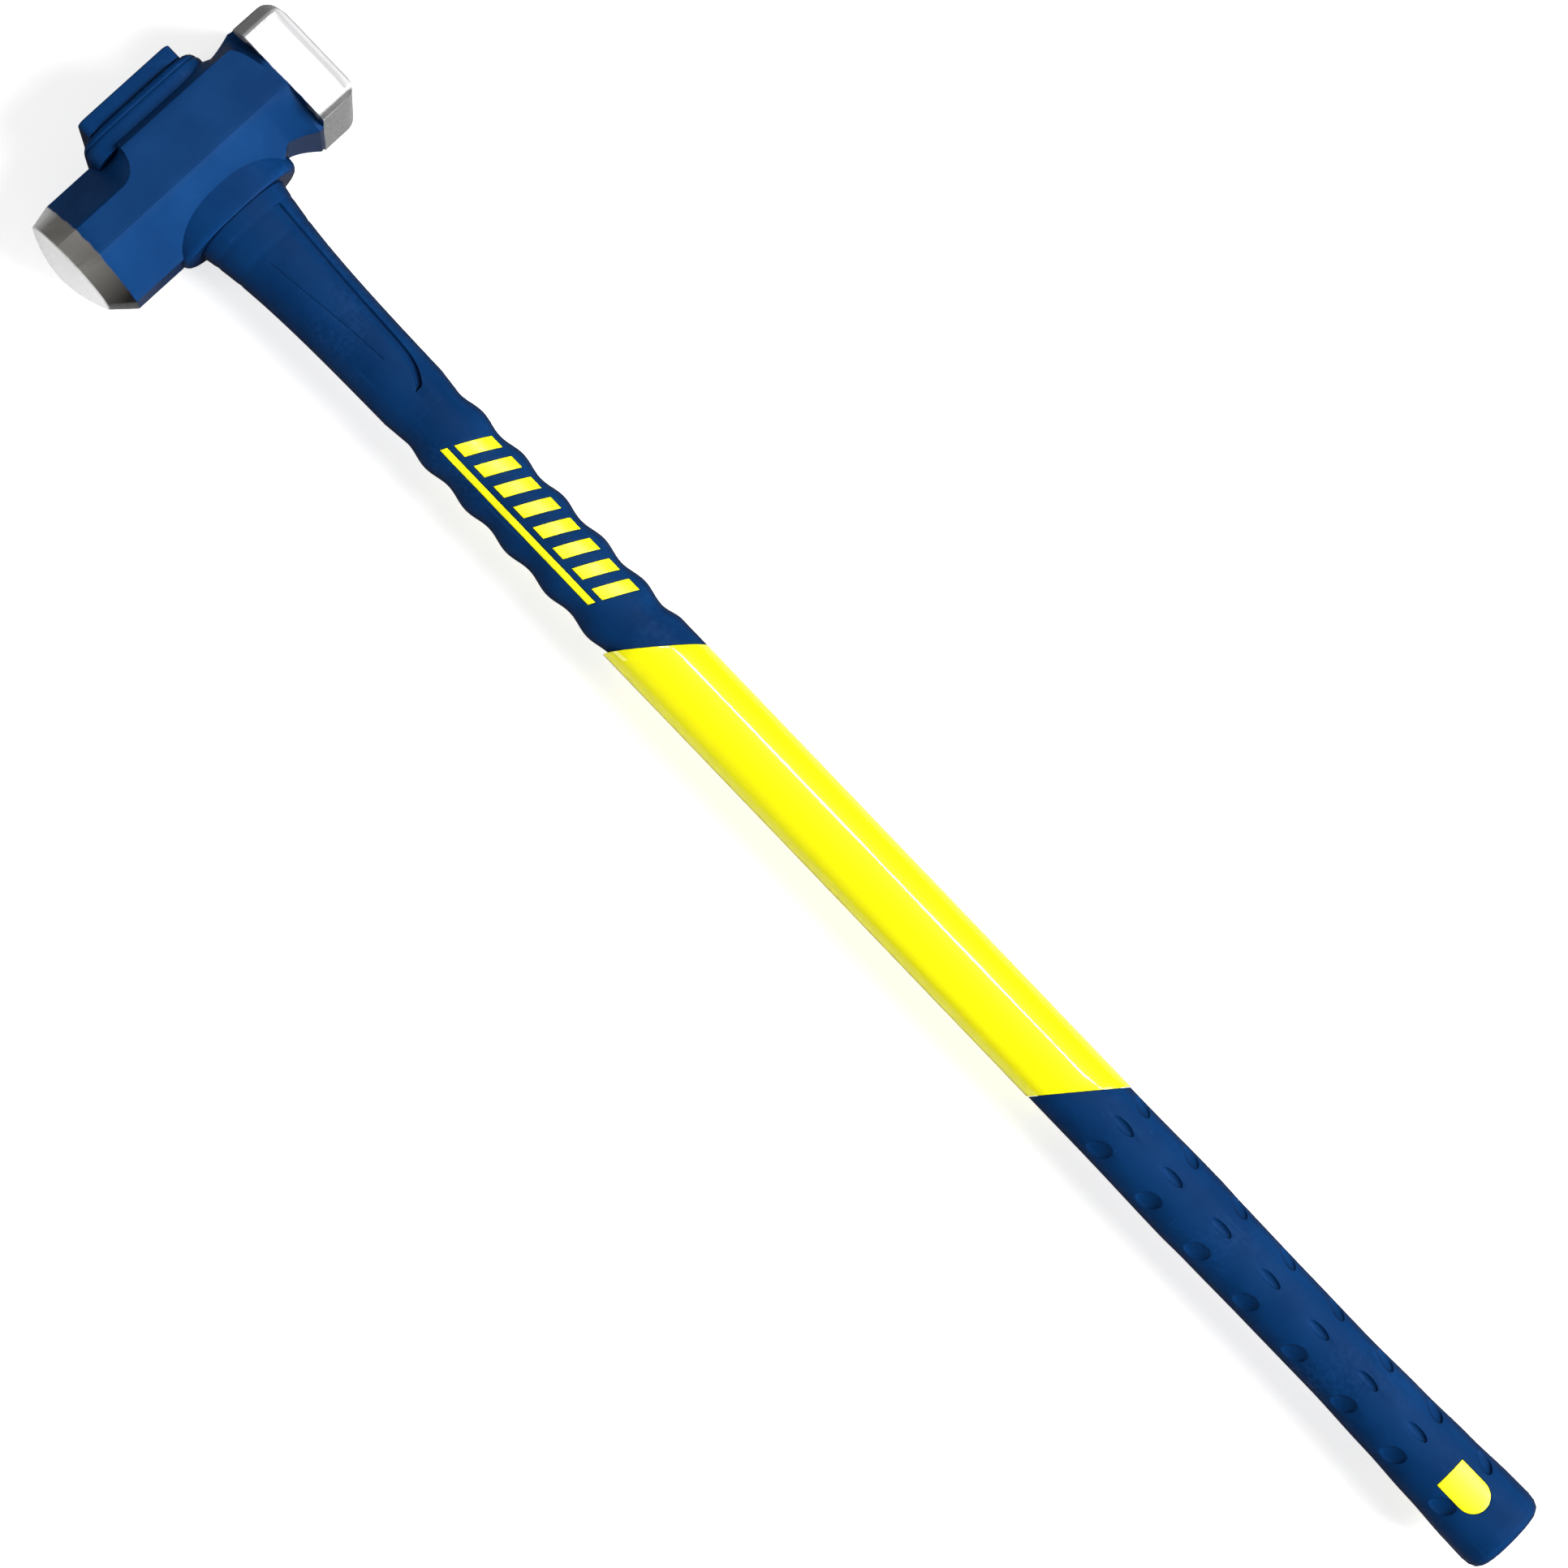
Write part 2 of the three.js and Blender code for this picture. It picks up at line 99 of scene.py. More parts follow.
def name_new_piece(name):
    piece = bpy.context.object
    piece.name = name
    piece.data.name = name
    ops.object.transform_apply(location=True, rotation=True, scale=True)
    return piece


def pick(kind, test):
    """Selects the vertices, edges or faces of the mesh in edit mode that pass a test."""
    ops.mesh.select_mode(type=kind)
    ops.mesh.select_all(action="DESELECT")
    mesh = bmesh.from_edit_mesh(bpy.context.object.data)
    for element in {"VERT": mesh.verts, "EDGE": mesh.edges, "FACE": mesh.faces}[kind]:
        if test(element):
            element.select_set(True)
    bmesh.update_edit_mesh(bpy.context.object.data)


def tidy_mesh():
    """Merges doubles and turns every face outwards, in edit mode."""
    ops.mesh.select_all(action="SELECT")
    ops.mesh.remove_doubles(threshold=0.00001)
    ops.mesh.normals_make_consistent(inside=False)


def apply_modifier(piece, kind, **settings):
    make_active(piece)
    modifier = piece.modifiers.new(kind.title(), kind)
    for name, value in settings.items():
        setattr(modifier, name, value)
    ops.object.modifier_apply(modifier=modifier.name)


def combine(piece, other, operation="DIFFERENCE"):
    """A boolean with another piece, which is used up."""
    apply_modifier(piece, "BOOLEAN", object=other, operation=operation, solver="EXACT")
    bpy.data.objects.remove(other, do_unlink=True)
    if not piece.data.polygons:
        raise RuntimeError(f"nothing is left of {piece.name}")


def shade(piece, angle=30):
    make_active(piece)
    ops.object.shade_smooth_by_angle(angle=math.radians(angle))


def soften(piece, width, angle=30, segments=3):
    """Rounds the sharp edges of a piece and shades it smooth."""
    apply_modifier(piece, "BEVEL", width=width, segments=segments, limit_method="ANGLE",
                   angle_limit=math.radians(angle), use_clamp_overlap=True)
    shade(piece, angle)


def copy_of(piece, name, move=(0, 0, 0)):
    """A copy with its own mesh, its move held in the mesh."""
    copy = piece.copy()
    copy.data = piece.data.copy()
    copy.name = name
    copy.data.name = name
    copy.data.transform(Matrix.Translation(move))
    bpy.context.scene.collection.objects.link(copy)
    return copy


def join(pieces, name):
    make_active(pieces[0])
    for piece in pieces:
        piece.select_set(True)
    ops.object.join()
    return name_new_piece(name)


# Bevel profiles that give each squareness of oval
SQUARENESS_PROFILE = {2.3: 0.5473, 6: 0.794}


def oval_section(name, x, width, depth, squareness, segments):
    """A plane across the handle whose corners are bevelled into an oval, left selected in edit mode.
    Without a squareness only its corners are rounded."""
    deselect_everything()
    ops.mesh.primitive_plane_add(size=1, location=(x, 0, axis_z), rotation=(0, math.pi / 2, 0))
    bpy.context.object.scale = (depth, width, 1)
    piece = name_new_piece(name)
    ops.object.mode_set(mode="EDIT")
    ops.mesh.select_all(action="SELECT")
    if squareness:
        ops.mesh.bevel(offset_type="PERCENT", offset_pct=50, affect="VERTICES", segments=segments,
                       profile=SQUARENESS_PROFILE[squareness])
    else:
        ops.mesh.bevel(offset_type="OFFSET", offset=3.5 * MM, affect="VERTICES", segments=segments,
                       profile=0.5)
    ops.mesh.remove_doubles(threshold=0.00001)
    ops.mesh.select_all(action="SELECT")
    return piece


def oval_loft(name, stations, squareness=2.3, segments=16, grow=0.0):
    """Pulls an oval through (x, width, depth) stations along the handle, `grow` larger all round."""
    stations = [(x, width + 2 * grow, depth + 2 * grow) for x, width, depth in stations]
    piece = oval_section(name, *stations[0], squareness, segments)
    x, width, depth = stations[0]
    for next_x, next_width, next_depth in stations[1:]:
        ops.mesh.extrude_region_move(TRANSFORM_OT_translate={"value": (next_x - x, 0, 0)})
        scale = (1, next_width / width, next_depth / depth)
        ops.transform.resize(value=scale, center_override=(next_x, 0, axis_z))
        x, width, depth = next_x, next_width, next_depth
    tidy_mesh()
    ops.object.mode_set(mode="OBJECT")
    return piece


def straight_oval(name, start, end, size, grow=0.0):
    return oval_loft(name, [(start, *size), (end, *size)], grow=grow)


def slice_off(piece, x, direction):
    """Cuts the end off a piece along the slanted line that crosses the handle's middle at x."""
    make_active(piece)
    ops.object.mode_set(mode="EDIT")
    ops.mesh.select_all(action="SELECT")
    ops.mesh.bisect(plane_co=(x, 0, axis_z), plane_no=(direction, -direction * SLANT, 0), use_fill=True,
                    clear_outer=True)
    ops.object.mode_set(mode="OBJECT")


def quarter_turn(steps):
    return [i / steps * math.pi / 2 for i in range(steps + 1)]


def mix(a, b, share):
    return a + (b - a) * share


# Camera ---------------------------------------------------------------------------------------------------


def make_camera():
    """Looks down on the hammer, with the handle running to the lower right of the picture."""
    distance = 1.84
    sensor = 0.036
    picture_width = 0.7187
    lean = math.radians(7.5)
    slope = math.radians(46.2)
    target = Vector((-0.0213, 0, axis_z))
    across = Vector((0, math.cos(lean), math.sin(lean)))
    back = Vector((0, -math.sin(lean), math.cos(lean)))
    along = Vector((1, 0, 0))
    right = along * math.cos(slope) + across * math.sin(slope)
    up = across * math.cos(slope) - along * math.sin(slope)
    camera = bpy.data.objects.new("camera", bpy.data.cameras.new("camera"))
    bpy.context.scene.collection.objects.link(camera)
    rotation = Matrix((right, up, back)).transposed().to_4x4()
    camera.matrix_world = Matrix.Translation(target + back * distance) @ rotation
    camera.data.sensor_width = sensor / MM
    camera.data.lens = sensor / MM * distance / picture_width
    camera.data.clip_end = 20
    bpy.context.scene.camera = camera


make_camera()

# Head -----------------------------------------------------------------------------------------------------

END_CHAMFER = 21.4 * MM
CHEEK_CHAMFER = 7.6 * MM
HANDLE_CHAMFER = 22.8 * MM
RIM_CHAMFER = 8 * MM
RIM_HEEL = 3.5 * MM
CHEEK_REACH = 21.6 * MM
WAIST_DIP = 6 * MM
CAP_DIP = 3.2 * MM
WAIST_RUN = 9 * MM
FLARE_RUN = 14 * MM
FLARE_DEPTH = 12 * MM
POCKET_RUN = 7 * MM
POCKET_CHAMFER = 23 * MM
RIM_BAND = 24.75 * MM
RIM_ROUND = 8.5 * MM
RIM_CROWN = 2 * MM
FACE_CROWN = 6.2 * MM
FACE_MARGIN = 4.65 * MM
FACE_SIDE_MARGIN = 5.5 * MM
FACE_SHIFT = 3.5 * MM
BEVEL_LENGTH = 10.8 * MM
EDGE_STEPS = 8
rim_start = half_length - RIM_BAND
flare_start = rim_start - FLARE_RUN - 3 * MM
bevel_end = FACE_CROWN + BEVEL_LENGTH - half_length


def section(cap, handle, top=head_top, bottom=head_bottom, inset=0.0):
    """One eight-cornered section across the head as (x, z) points, its edges cut into equal steps.
    cap and handle are each chamfer's reach along the handle and its depth."""
    top += inset
    bottom -= inset
    side = half_depth - inset
    shrink = inset * (2 - math.sqrt(2))
    cap_x, cap_z = [max(leg - shrink, MM) for leg in cap]
    handle_x, handle_z = [max(leg - shrink, MM) for leg in handle]
    upper = [(top, side - cap_z), (top + cap_x, side), (bottom - handle_x, side), (bottom, side - handle_z)]
    corners = [Vector(corner) for corner in upper + [(x, -z) for x, z in reversed(upper)]]
    return [start.lerp(end, step / EDGE_STEPS)
            for start, end in zip(corners, corners[1:] + corners[:1]) for step in range(EDGE_STEPS)]


def even(leg):
    return (leg, leg)


OCTAGON = section(even(END_CHAMFER), even(HANDLE_CHAMFER))
RIM = {"cap": even(RIM_CHAMFER), "handle": even(RIM_HEEL)}


def scoop_stations():
    """From the octagonal end to the cheek, where the cap-side chamfer runs out in a scoop."""
    scoop = END_CHAMFER - CHEEK_CHAMFER
    for t in quarter_turn(12):
        chamfer = END_CHAMFER - scoop * (1 - math.cos(t))
        yield -CHEEK_REACH - scoop * 0.83 * (1 - math.sin(t)), section(even(chamfer), even(HANDLE_CHAMFER))


def waist_stations():
    """Both sides draw in beside the collar and the bead."""
    yield flare_start - WAIST_RUN, section(even(CHEEK_CHAMFER), even(HANDLE_CHAMFER))
    for t in quarter_turn(10):
        share = math.sin(t) ** 2
        dip = WAIST_DIP * share
        cap_dip = CAP_DIP * share
        cap = (CHEEK_CHAMFER - cap_dip, CHEEK_CHAMFER)
        drawn_in = section(cap, even(HANDLE_CHAMFER - dip), head_top + cap_dip, head_bottom - dip)
        yield flare_start - WAIST_RUN * 0.9 * math.cos(t) ** 2, drawn_in


def flare_stations():
    """The handle-side facet keeps its upper edge and turns out to meet the rim's corner."""
    steps = 16
    for u in [(i + 1) / steps for i in range(steps)]:
        out = u ** 1.4
        pocket = max(0, (u - 1) * FLARE_RUN / POCKET_RUN + 1) ** 2
        top = head_top + mix(CAP_DIP, -LIP, out)
        bottom = head_bottom - mix(WAIST_DIP, -LIP, out)
        cap_reach = head_top + mix(CHEEK_CHAMFER, POCKET_CHAMFER, pocket) - top
        cap = (cap_reach, mix(CHEEK_CHAMFER, FLARE_DEPTH, out))
        handle = (bottom - head_bottom + HANDLE_CHAMFER, mix(HANDLE_CHAMFER - WAIST_DIP, FLARE_DEPTH, out))
        yield flare_start + FLARE_RUN * u, section(cap, handle, top, bottom)


def rim_stations():
    """The lip, the straight sides of the rim, its rounded edge and its slightly crowned face."""
    cap = (POCKET_CHAMFER + LIP / 2, FLARE_DEPTH)
    handle = (HANDLE_CHAMFER + LIP / 2, FLARE_DEPTH)
    yield rim_start - 0.4 * MM, section(cap, handle, head_top - LIP / 2, head_bottom + LIP / 2)
    yield rim_start, section(**RIM)
    face = half_length - RIM_CROWN
    for t in quarter_turn(8):
        yield face - RIM_ROUND * (1 - math.sin(t)), section(**RIM, inset=RIM_ROUND * (1 - math.cos(t)))
    for share, rise in [(0.2, 0.4), (0.45, 0.7), (0.85, 1)]:
        yield face + RIM_CROWN * rise, section(**RIM, inset=mix(RIM_ROUND, half_depth, share))


def place_ring(y, points):
    """Slides each vertex of the selected ring to its point, both taken in turn round the head's middle."""
    def turn(x, z):
        return (math.atan2(z, x - head_middle) + 0.01) % (2 * math.pi)
    mesh = bmesh.from_edit_mesh(bpy.context.object.data)
    ring = sorted((v for v in mesh.verts if v.select), key=lambda v: turn(v.co.x, v.co.z - axis_z))
    for vert, (x, z) in zip(ring, sorted(points, key=lambda point: turn(*point))):
        vert.co = (x, y, axis_z + z)
    bmesh.update_edit_mesh(bpy.context.object.data)


def pull_head(start, stations):
    """Extrudes the selected end of the head through every section."""
    for y, points in stations:
        ops.mesh.extrude_region_move(TRANSFORM_OT_translate={"value": (0, y - start, 0)})
        place_ring(y, points)
        start = y


def make_head_blank():
    """A short many-sided plug, pulled one way through the sections and the other way to the round face."""
    deselect_everything()
    ops.mesh.primitive_cylinder_add(vertices=8 * EDGE_STEPS, radius=half_depth, depth=4 * MM,
                                    end_fill_type="NGON", location=(head_middle, bevel_end + 2 * MM, axis_z),
                                    rotation=(math.pi / 2, 0, 0))
    head = name_new_piece("hammer_head_forging")
    ops.object.mode_set(mode="EDIT")
    pick("FACE", lambda face: face.normal.y > 0.9)
    place_ring(bevel_end + 4 * MM, OCTAGON)
    pull_head(bevel_end + 4 * MM, [*scoop_stations(), *waist_stations(), *flare_stations(), *rim_stations()])
    pick("FACE", lambda face: face.normal.y < -0.9 and face.calc_center_median().y < bevel_end + MM)
    place_ring(bevel_end, OCTAGON)
    face_x = head_middle - FACE_SHIFT
    angles = [math.atan2(z, x - head_middle) for x, z in OCTAGON]
    reach = (head_bottom - head_top) / 2 - FACE_MARGIN
    rise = half_depth - FACE_SIDE_MARGIN
    edge = [(face_x + reach * math.cos(a), rise * math.sin(a)) for a in angles]
    pull_head(bevel_end, [(FACE_CROWN - half_length, edge)])
    share = 1.0
    for next_share in (0.97, 0.9, 0.8, 0.65, 0.5, 0.35, 0.2, 0.08):
        rise = FACE_CROWN * (next_share ** 2 - share ** 2)
        ops.mesh.extrude_region_move(TRANSFORM_OT_translate={"value": (0, rise, 0)})
        scale = next_share / share
        ops.transform.resize(value=(scale, 1, scale), center_override=(face_x, 0, axis_z))
        share = next_share
    tidy_mesh()
    ops.object.mode_set(mode="OBJECT")
    return head


def eye_cutter():
    width, depth = [size + 2 * POTTING_WALL for size in spigot]
    taper = 4 * MM
    stations = [(head_top - 4 * MM, width + taper, depth + taper), (head_top, width + taper, depth + taper),
                (head_bottom, width, depth), (head_bottom + 4 * MM, width, depth)]
    return oval_loft("eye_cutter", stations)


def blend_bevel(piece):
    """Clears the sharp edges inside the ground bevel, so that its flats run into one another."""
    start = FACE_CROWN - half_length - 0.2 * MM
    end = bevel_end - 0.9 * MM
    make_active(piece)
    ops.object.mode_set(mode="EDIT")
    pick("EDGE", lambda edge: all(start < v.co.y < end for v in edge.verts))
    ops.mesh.mark_sharp(clear=True)
    ops.object.mode_set(mode="OBJECT")


head = make_head_blank()
combine(head, eye_cutter())
head_cutter = copy_of(head, "head_cutter")
soften(head, 0.6 * MM, angle=33)
blend_bevel(head)

# Cap, bead and collar -------------------------------------------------------------------------------------


def make_cap():
    width = cap_high.y - cap_low.y
    depth = cap_high.z - cap_low.z
    stations = []
    for t in quarter_turn(6):
        inset = 1.6 * MM * (1 - math.sin(t))
        stations.append((cap_low.x + 0.8 * MM * (1 - math.cos(t)), width - inset, depth - inset))
    stations.append((bead_low.x - GAP, width, depth))
    cap = oval_loft("eye_cap_block", stations, squareness=None, segments=8)
    tenon = [side + 4 * MM for side in spigot]
    combine(cap, straight_oval("tenon", bead_low.x - MM, cap_high.x, tenon), "UNION")
    shade(cap)
    return cap


def make_bead():
    """A stepped bead between the cap and the head, cut to the head's outline."""
    width = bead_high.y - bead_low.y
    depth = bead_high.z - bead_low.z
    steps = [(0, 9), (0.3, 7.4), (0.5, 5.4), (1.0, 4.4), (1.7, 2.8), (2.6, 1.8), (3.2, 1.6), (3.5, 2.3),
             (3.9, 1.5), (4.6, 0.5), (5.4, 0), (7.6, 0.1), (9, 0.5), (10.6, 0.9), (12.4, 1.4)]
    stations = [(bead_low.x + x * MM, width - inset * MM, depth - inset / 2 * MM) for x, inset in steps]
    bead = oval_loft("cap_bead", stations, squareness=6, segments=14)
    combine(bead, copy_of(head_cutter, "cutter"))
    combine(bead, straight_oval("cutter", cap_low.x, head_bottom, spigot, 2 * MM + GAP))
    shade(bead)
    return bead


def make_collar():
    """The saddle that wraps up over the head's chamfers, with a rolled lip where the neck starts."""
    width = collar_high.y - collar_low.y
    depth = collar_high.z - collar_low.z
    steps = [(20, 0, 0), (5, 0, 0), (3.6, 0.1, 0), (2.4, 0.7, 0), (1.3, 1.8, 0.1), (0.5, 3.4, 0.3),
             (0, 5.6, 0.8)]
    stations = [(collar_end - x * MM, width - w * MM, depth - d * MM) for x, w, d in steps]
    collar = oval_loft("head_collar", stations, segments=18)
    combine(collar, copy_of(head_cutter, "cutter"))
    combine(collar, straight_oval("cutter", head_middle, collar_end + MM, spigot, GAP))
    shade(collar)
    return collar


cap = make_cap()
bead = make_bead()
collar = make_collar()
bpy.data.objects.remove(head_cutter, do_unlink=True)

# Neck sleeve ----------------------------------------------------------------------------------------------

RIDGE_COUNT = 5
RIDGE_PITCH = 26.8 * MM
RIDGE_DEPTH = 2.05 * MM
RIDGE_START = 126.7 * MM
NECK_TOP = (50.3 * MM, 38.2 * MM)
NECK_FALL = 33 * MM
NECK_DRAW = 2.2 * MM
RING_GROOVES = [(8.2 * MM, 0.35 * MM), (21 * MM, 0.3 * MM)]  # distance from the collar, depth


def neck_stations():
    waist = jacket_width - NECK_DRAW
    stations = []
    steps = 90
    for i in range(steps):
        along = RIDGE_START * 0.9 * i / steps
        fall = math.exp(-along / NECK_FALL)
        dip = sum(2 * deep * math.exp(-((along - at) / (0.9 * MM)) ** 2) for at, deep in RING_GROOVES)
        width = mix(waist, NECK_TOP[0], fall) - dip
        depth = mix(jacket_depth, NECK_TOP[1], fall) - dip
        stations.append((collar_end + GAP + along, width, depth))
    valley = jacket_width - 0.6 * MM - 2 * RIDGE_DEPTH
    per_ridge = 14
    for i in range(RIDGE_COUNT * per_ridge + 1):
        turn = i / per_ridge
        rise = RIDGE_DEPTH * (1 - math.cos(turn * 2 * math.pi))
        stations.append((collar_end + RIDGE_START + turn * RIDGE_PITCH, valley + rise, jacket_depth))
    last = stations[-1][0]
    for i in range(1, 8):
        rise = mix(valley, jacket_width - 0.2 * MM, (1 - math.cos(i / 7 * math.pi)) / 2)
        stations.append((last + 11 * MM * i / 7, rise, jacket_depth))
    stations += [(last + 11 * MM + 8 * MM * i, jacket_width - 0.2 * MM, jacket_depth) for i in range(1, 9)]
    return stations


def surface_height(y, width, depth):
    """How far an oval section's skin stands from the handle's middle plane at y."""
    return depth / 2 * (1 - abs(2 * y / width) ** 2.3) ** (1 / 2.3)


def size_at(stations, x):
    """The width and depth of a sleeve at x."""
    for (a, wa, da), (b, wb, db) in zip(stations, stations[1:]):
        if a <= x <= b:
            share = (x - a) / (b - a)
            return mix(wa, wb, share), mix(da, db, share)


def crease_cutter(path, radius, side):
    """A thin round bar laid along a path of (x, y) places on the neck's skin."""
    places = []
    for x, y in path:
        height = surface_height(y, *size_at(NECK, x))
        places.append(Vector((x, y, axis_z + side * (height + radius * 0.1))))
    deselect_everything()
    ops.mesh.primitive_circle_add(vertices=10, radius=radius, fill_type="NGON", location=places[0],
                                  rotation=(0, math.pi / 2, 0))
    cutter = name_new_piece("crease_cutter")
    ops.object.mode_set(mode="EDIT")
    ops.mesh.select_all(action="SELECT")
    for start, end in zip(places, places[1:]):
        ops.mesh.extrude_region_move(TRANSFORM_OT_translate={"value": end - start})
    tidy_mesh()
    ops.object.mode_set(mode="OBJECT")
    return cutter


def bend(points, steps=8):
    """A smooth path of (x, y) places through the given ones, in millimetres from the collar."""
    path = []
    padded = [points[0], *points, points[-1]]
    for a, b, c, d in zip(padded, padded[1:], padded[2:], padded[3:]):
        for i in range(steps):
            t = i / steps
            path.append([0.5 * (2 * q + (r - p) * t + (2 * p - 5 * q + 4 * r - s) * t * t
                                + (3 * q - p - 3 * r + s) * t ** 3) for p, q, r, s in zip(a, b, c, d)])
    return [(collar_end + x * MM, y * MM) for x, y in [*path, points[-1]]]


NECK = neck_stations()
CREASES = [bend([(8.5, 14.4), (30, 13.4), (62, 11.7), (92, 10.4), (104, 8.6), (112, 4.6), (114, 2)]),
           bend([(26, -7), (50, -4), (72, -1.4), (93, 0.4)])]
CREASE_RADII = (2 * MM, 0.35 * MM)

# Inlays ---------------------------------------------------------------------------------------------------

INLAY_DEPTH = 1.5 * MM
INLAY_PROUD = 0.2 * MM
BAR_PITCH = 12.9 * MM
BAR_WIDTH = 7 * MM
INLAY_KINDS = {"bar": "stripe_bar", "rail": "stripe_rail", "badge": "butt_badge"}
PLATE_HEIGHT = 29 * MM
PLATE_MIDDLE = 15.5 * MM  # above the handle's middle plane
BAR_LEAN = 0.5
BAR_LOW = -3.6 * MM
BAR_HIGH = 12.4 * MM
RAIL_LOW = -9.6 * MM
RAIL_HIGH = -6.6 * MM
first_bar = (first_bar_low.x + first_bar_high.x) / 2 - BAR_LEAN * (BAR_LOW + BAR_HIGH) / 2


def upright_prism(name, low, high, lean, side, grow):
    """A plate with its long sides leaning, standing from just off the middle plane to clear of the sleeve."""
    deselect_everything()
    centre = ((low[0] + high[0]) / 2, (low[1] + high[1]) / 2, axis_z + side * PLATE_MIDDLE)
    ops.mesh.primitive_cube_add(size=1, location=centre)
    bpy.context.object.scale = (high[0] - low[0] + 2 * grow, high[1] - low[1] + 2 * grow, PLATE_HEIGHT)
    piece = name_new_piece(name)
    ops.object.mode_set(mode="EDIT")
    middle = (low[1] + high[1]) / 2
    for half in (1, -1):
        pick("VERT", lambda v: (v.co.y - middle) * half > 0)
        ops.transform.translate(value=(lean * (middle + half * ((high[1] - low[1]) / 2 + grow)), 0, 0))
    ops.object.mode_set(mode="OBJECT")
    return piece


def stripe_prisms(grow):
    """The rail and the eight bars for both sides, as one mesh of loose plates."""
    plates = []
    start = first_bar - BAR_WIDTH / 2
    bar_end = first_bar + BAR_WIDTH / 2
    rail_end = first_bar + 7 * BAR_PITCH + BAR_WIDTH / 2
    for side in (1, -1):
        bar = upright_prism("bar", (start, BAR_LOW), (bar_end, BAR_HIGH), BAR_LEAN, side, grow)
        plates += [bar] + [copy_of(bar, "bar", (BAR_PITCH * i, 0, 0)) for i in range(1, 8)]
        plates.append(upright_prism("rail", (start, RAIL_LOW), (rail_end, RAIL_HIGH), BAR_LEAN, side, grow))
    return join(plates, "stripe_plates")


def badge_prisms(grow):
    """Two D-shaped plates: a block and a round end, joined."""
    radius = (badge_high.y - badge_low.y) / 2
    bend_x = badge_high.x - radius
    plates = []
    for side in (1, -1):
        plate = upright_prism("badge", (badge_low.x, badge_low.y), (bend_x, badge_high.y), 0, side, grow)
        deselect_everything()
        ops.mesh.primitive_cylinder_add(vertices=48, radius=radius + grow, depth=PLATE_HEIGHT,
                                        location=(bend_x, 0, axis_z + side * PLATE_MIDDLE))
        combine(plate, name_new_piece("round_end"), "UNION")
        plates.append(plate)
    return join(plates, "badge_plates")


def set_in(sleeve, stations, prisms):
    """Cuts pockets in a sleeve and returns the inlays that fill them, as one mesh."""
    pockets = prisms(GAP)
    combine(pockets, oval_loft("pocket_floor", stations, grow=-INLAY_DEPTH))
    combine(sleeve, pockets)
    inlays = prisms(0)
    combine(inlays, oval_loft("inlay_floor", stations, grow=GAP - INLAY_DEPTH))
    combine(inlays, oval_loft("inlay_skin", stations, grow=INLAY_PROUD), "INTERSECT")
    return inlays


def separate(piece):
    """Parts a mesh into its loose bodies."""
    make_active(piece)
    ops.object.mode_set(mode="EDIT")
    ops.mesh.select_all(action="SELECT")
    ops.mesh.separate(type="LOOSE")
    ops.object.mode_set(mode="OBJECT")
    return list(bpy.context.selected_objects)


def middle_of(piece):
    corners = [Vector(corner) for corner in piece.bound_box]
    return sum(corners, Vector()) / len(corners)


def name_inlays(pieces):
    """Pairs each inlay with the node that it stands for, by place."""
    pairs = []
    nodes = {name: (low + high) / 2 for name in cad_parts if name.startswith(tuple(INLAY_KINDS))
             for low, high in [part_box(name)]}
    for piece in pieces:
        node = min(nodes, key=lambda name: (nodes[name] - middle_of(piece)).length)
        kind = node.split("_")[0]
        piece.name = node.replace(kind, INLAY_KINDS[kind])
        piece.data.name = piece.name
        soften(piece, 0.25 * MM, angle=50, segments=2)
        pairs.append((piece, node))
    return pairs


def make_neck():
    neck = oval_loft("neck_sleeve_moulding", NECK)
    slice_off(neck, neck_end, 1)
    inlays = set_in(neck, NECK, stripe_prisms)
    for side in (1, -1):
        for path, radius in zip(CREASES, CREASE_RADII):
            combine(neck, crease_cutter(path, radius, side))
    combine(neck, straight_oval("bore", head_middle, neck_end + 60 * MM, spigot, GAP))
    soften(neck, 0.25 * MM, angle=35, segments=2)
    return neck, inlays


neck, stripes = make_neck()

# Yellow jacket --------------------------------------------------------------------------------------------


def make_jacket():
    """The full-size middle with slanted shoulders, the spigots under both sleeves, and the core's bore."""
    start = neck_end - 30 * MM
    end = grip_start + 30 * MM
    count = 40
    stations = [(mix(start, end, i / count), jacket_width, jacket_depth) for i in range(count + 1)]
    jacket = oval_loft("yellow_jacket", stations)
    slice_off(jacket, grip_start - GAP, 1)
    slice_off(jacket, neck_end + GAP, -1)
    combine(jacket, straight_oval("spigot", jacket_low.x, jacket_high.x, spigot), "UNION")
    combine(jacket, straight_oval("bore", jacket_low.x - MM, jacket_high.x + MM, core))
    soften(jacket, 0.3 * MM, angle=40, segments=2)
    return jacket


jacket = make_jacket()

# Grip -----------------------------------------------------------------------------------------------------

# Distance from the butt, width and depth, in millimetres
GRIP_SHAPE = [(314, 37, 27.4), (263, 36.9, 27.4), (210, 38, 27.8), (194, 37.2, 27.6), (155, 36.6, 27.4),
              (111, 36.4, 27.6), (75, 38.1, 28.6), (45, 40.3, 30.2), (18, 42.7, 32.2), (8, 43.1, 32.8),
              (4, 42.2, 32), (1.4, 39.8, 29.6), (0, 36, 25.8)]


def grip_stations():
    steps = 6
    stations = []
    for (a, wa, da), (b, wb, db) in zip(GRIP_SHAPE, GRIP_SHAPE[1:]):
        for share in [i / steps for i in range(steps)]:
            ease = share * share * (3 - 2 * share) if b > 8 else share
            stations.append((butt_x - mix(a, b, share) * MM, mix(wa, wb, ease) * MM, mix(da, db, ease) * MM))
    a, wa, da = GRIP_SHAPE[-1]
    stations.append((butt_x - a * MM, wa * MM, da * MM))
    return stations


GRIP = grip_stations()
DIMPLE_START = butt_x - 259 * MM
DIMPLE_PITCH = 32.1 * MM
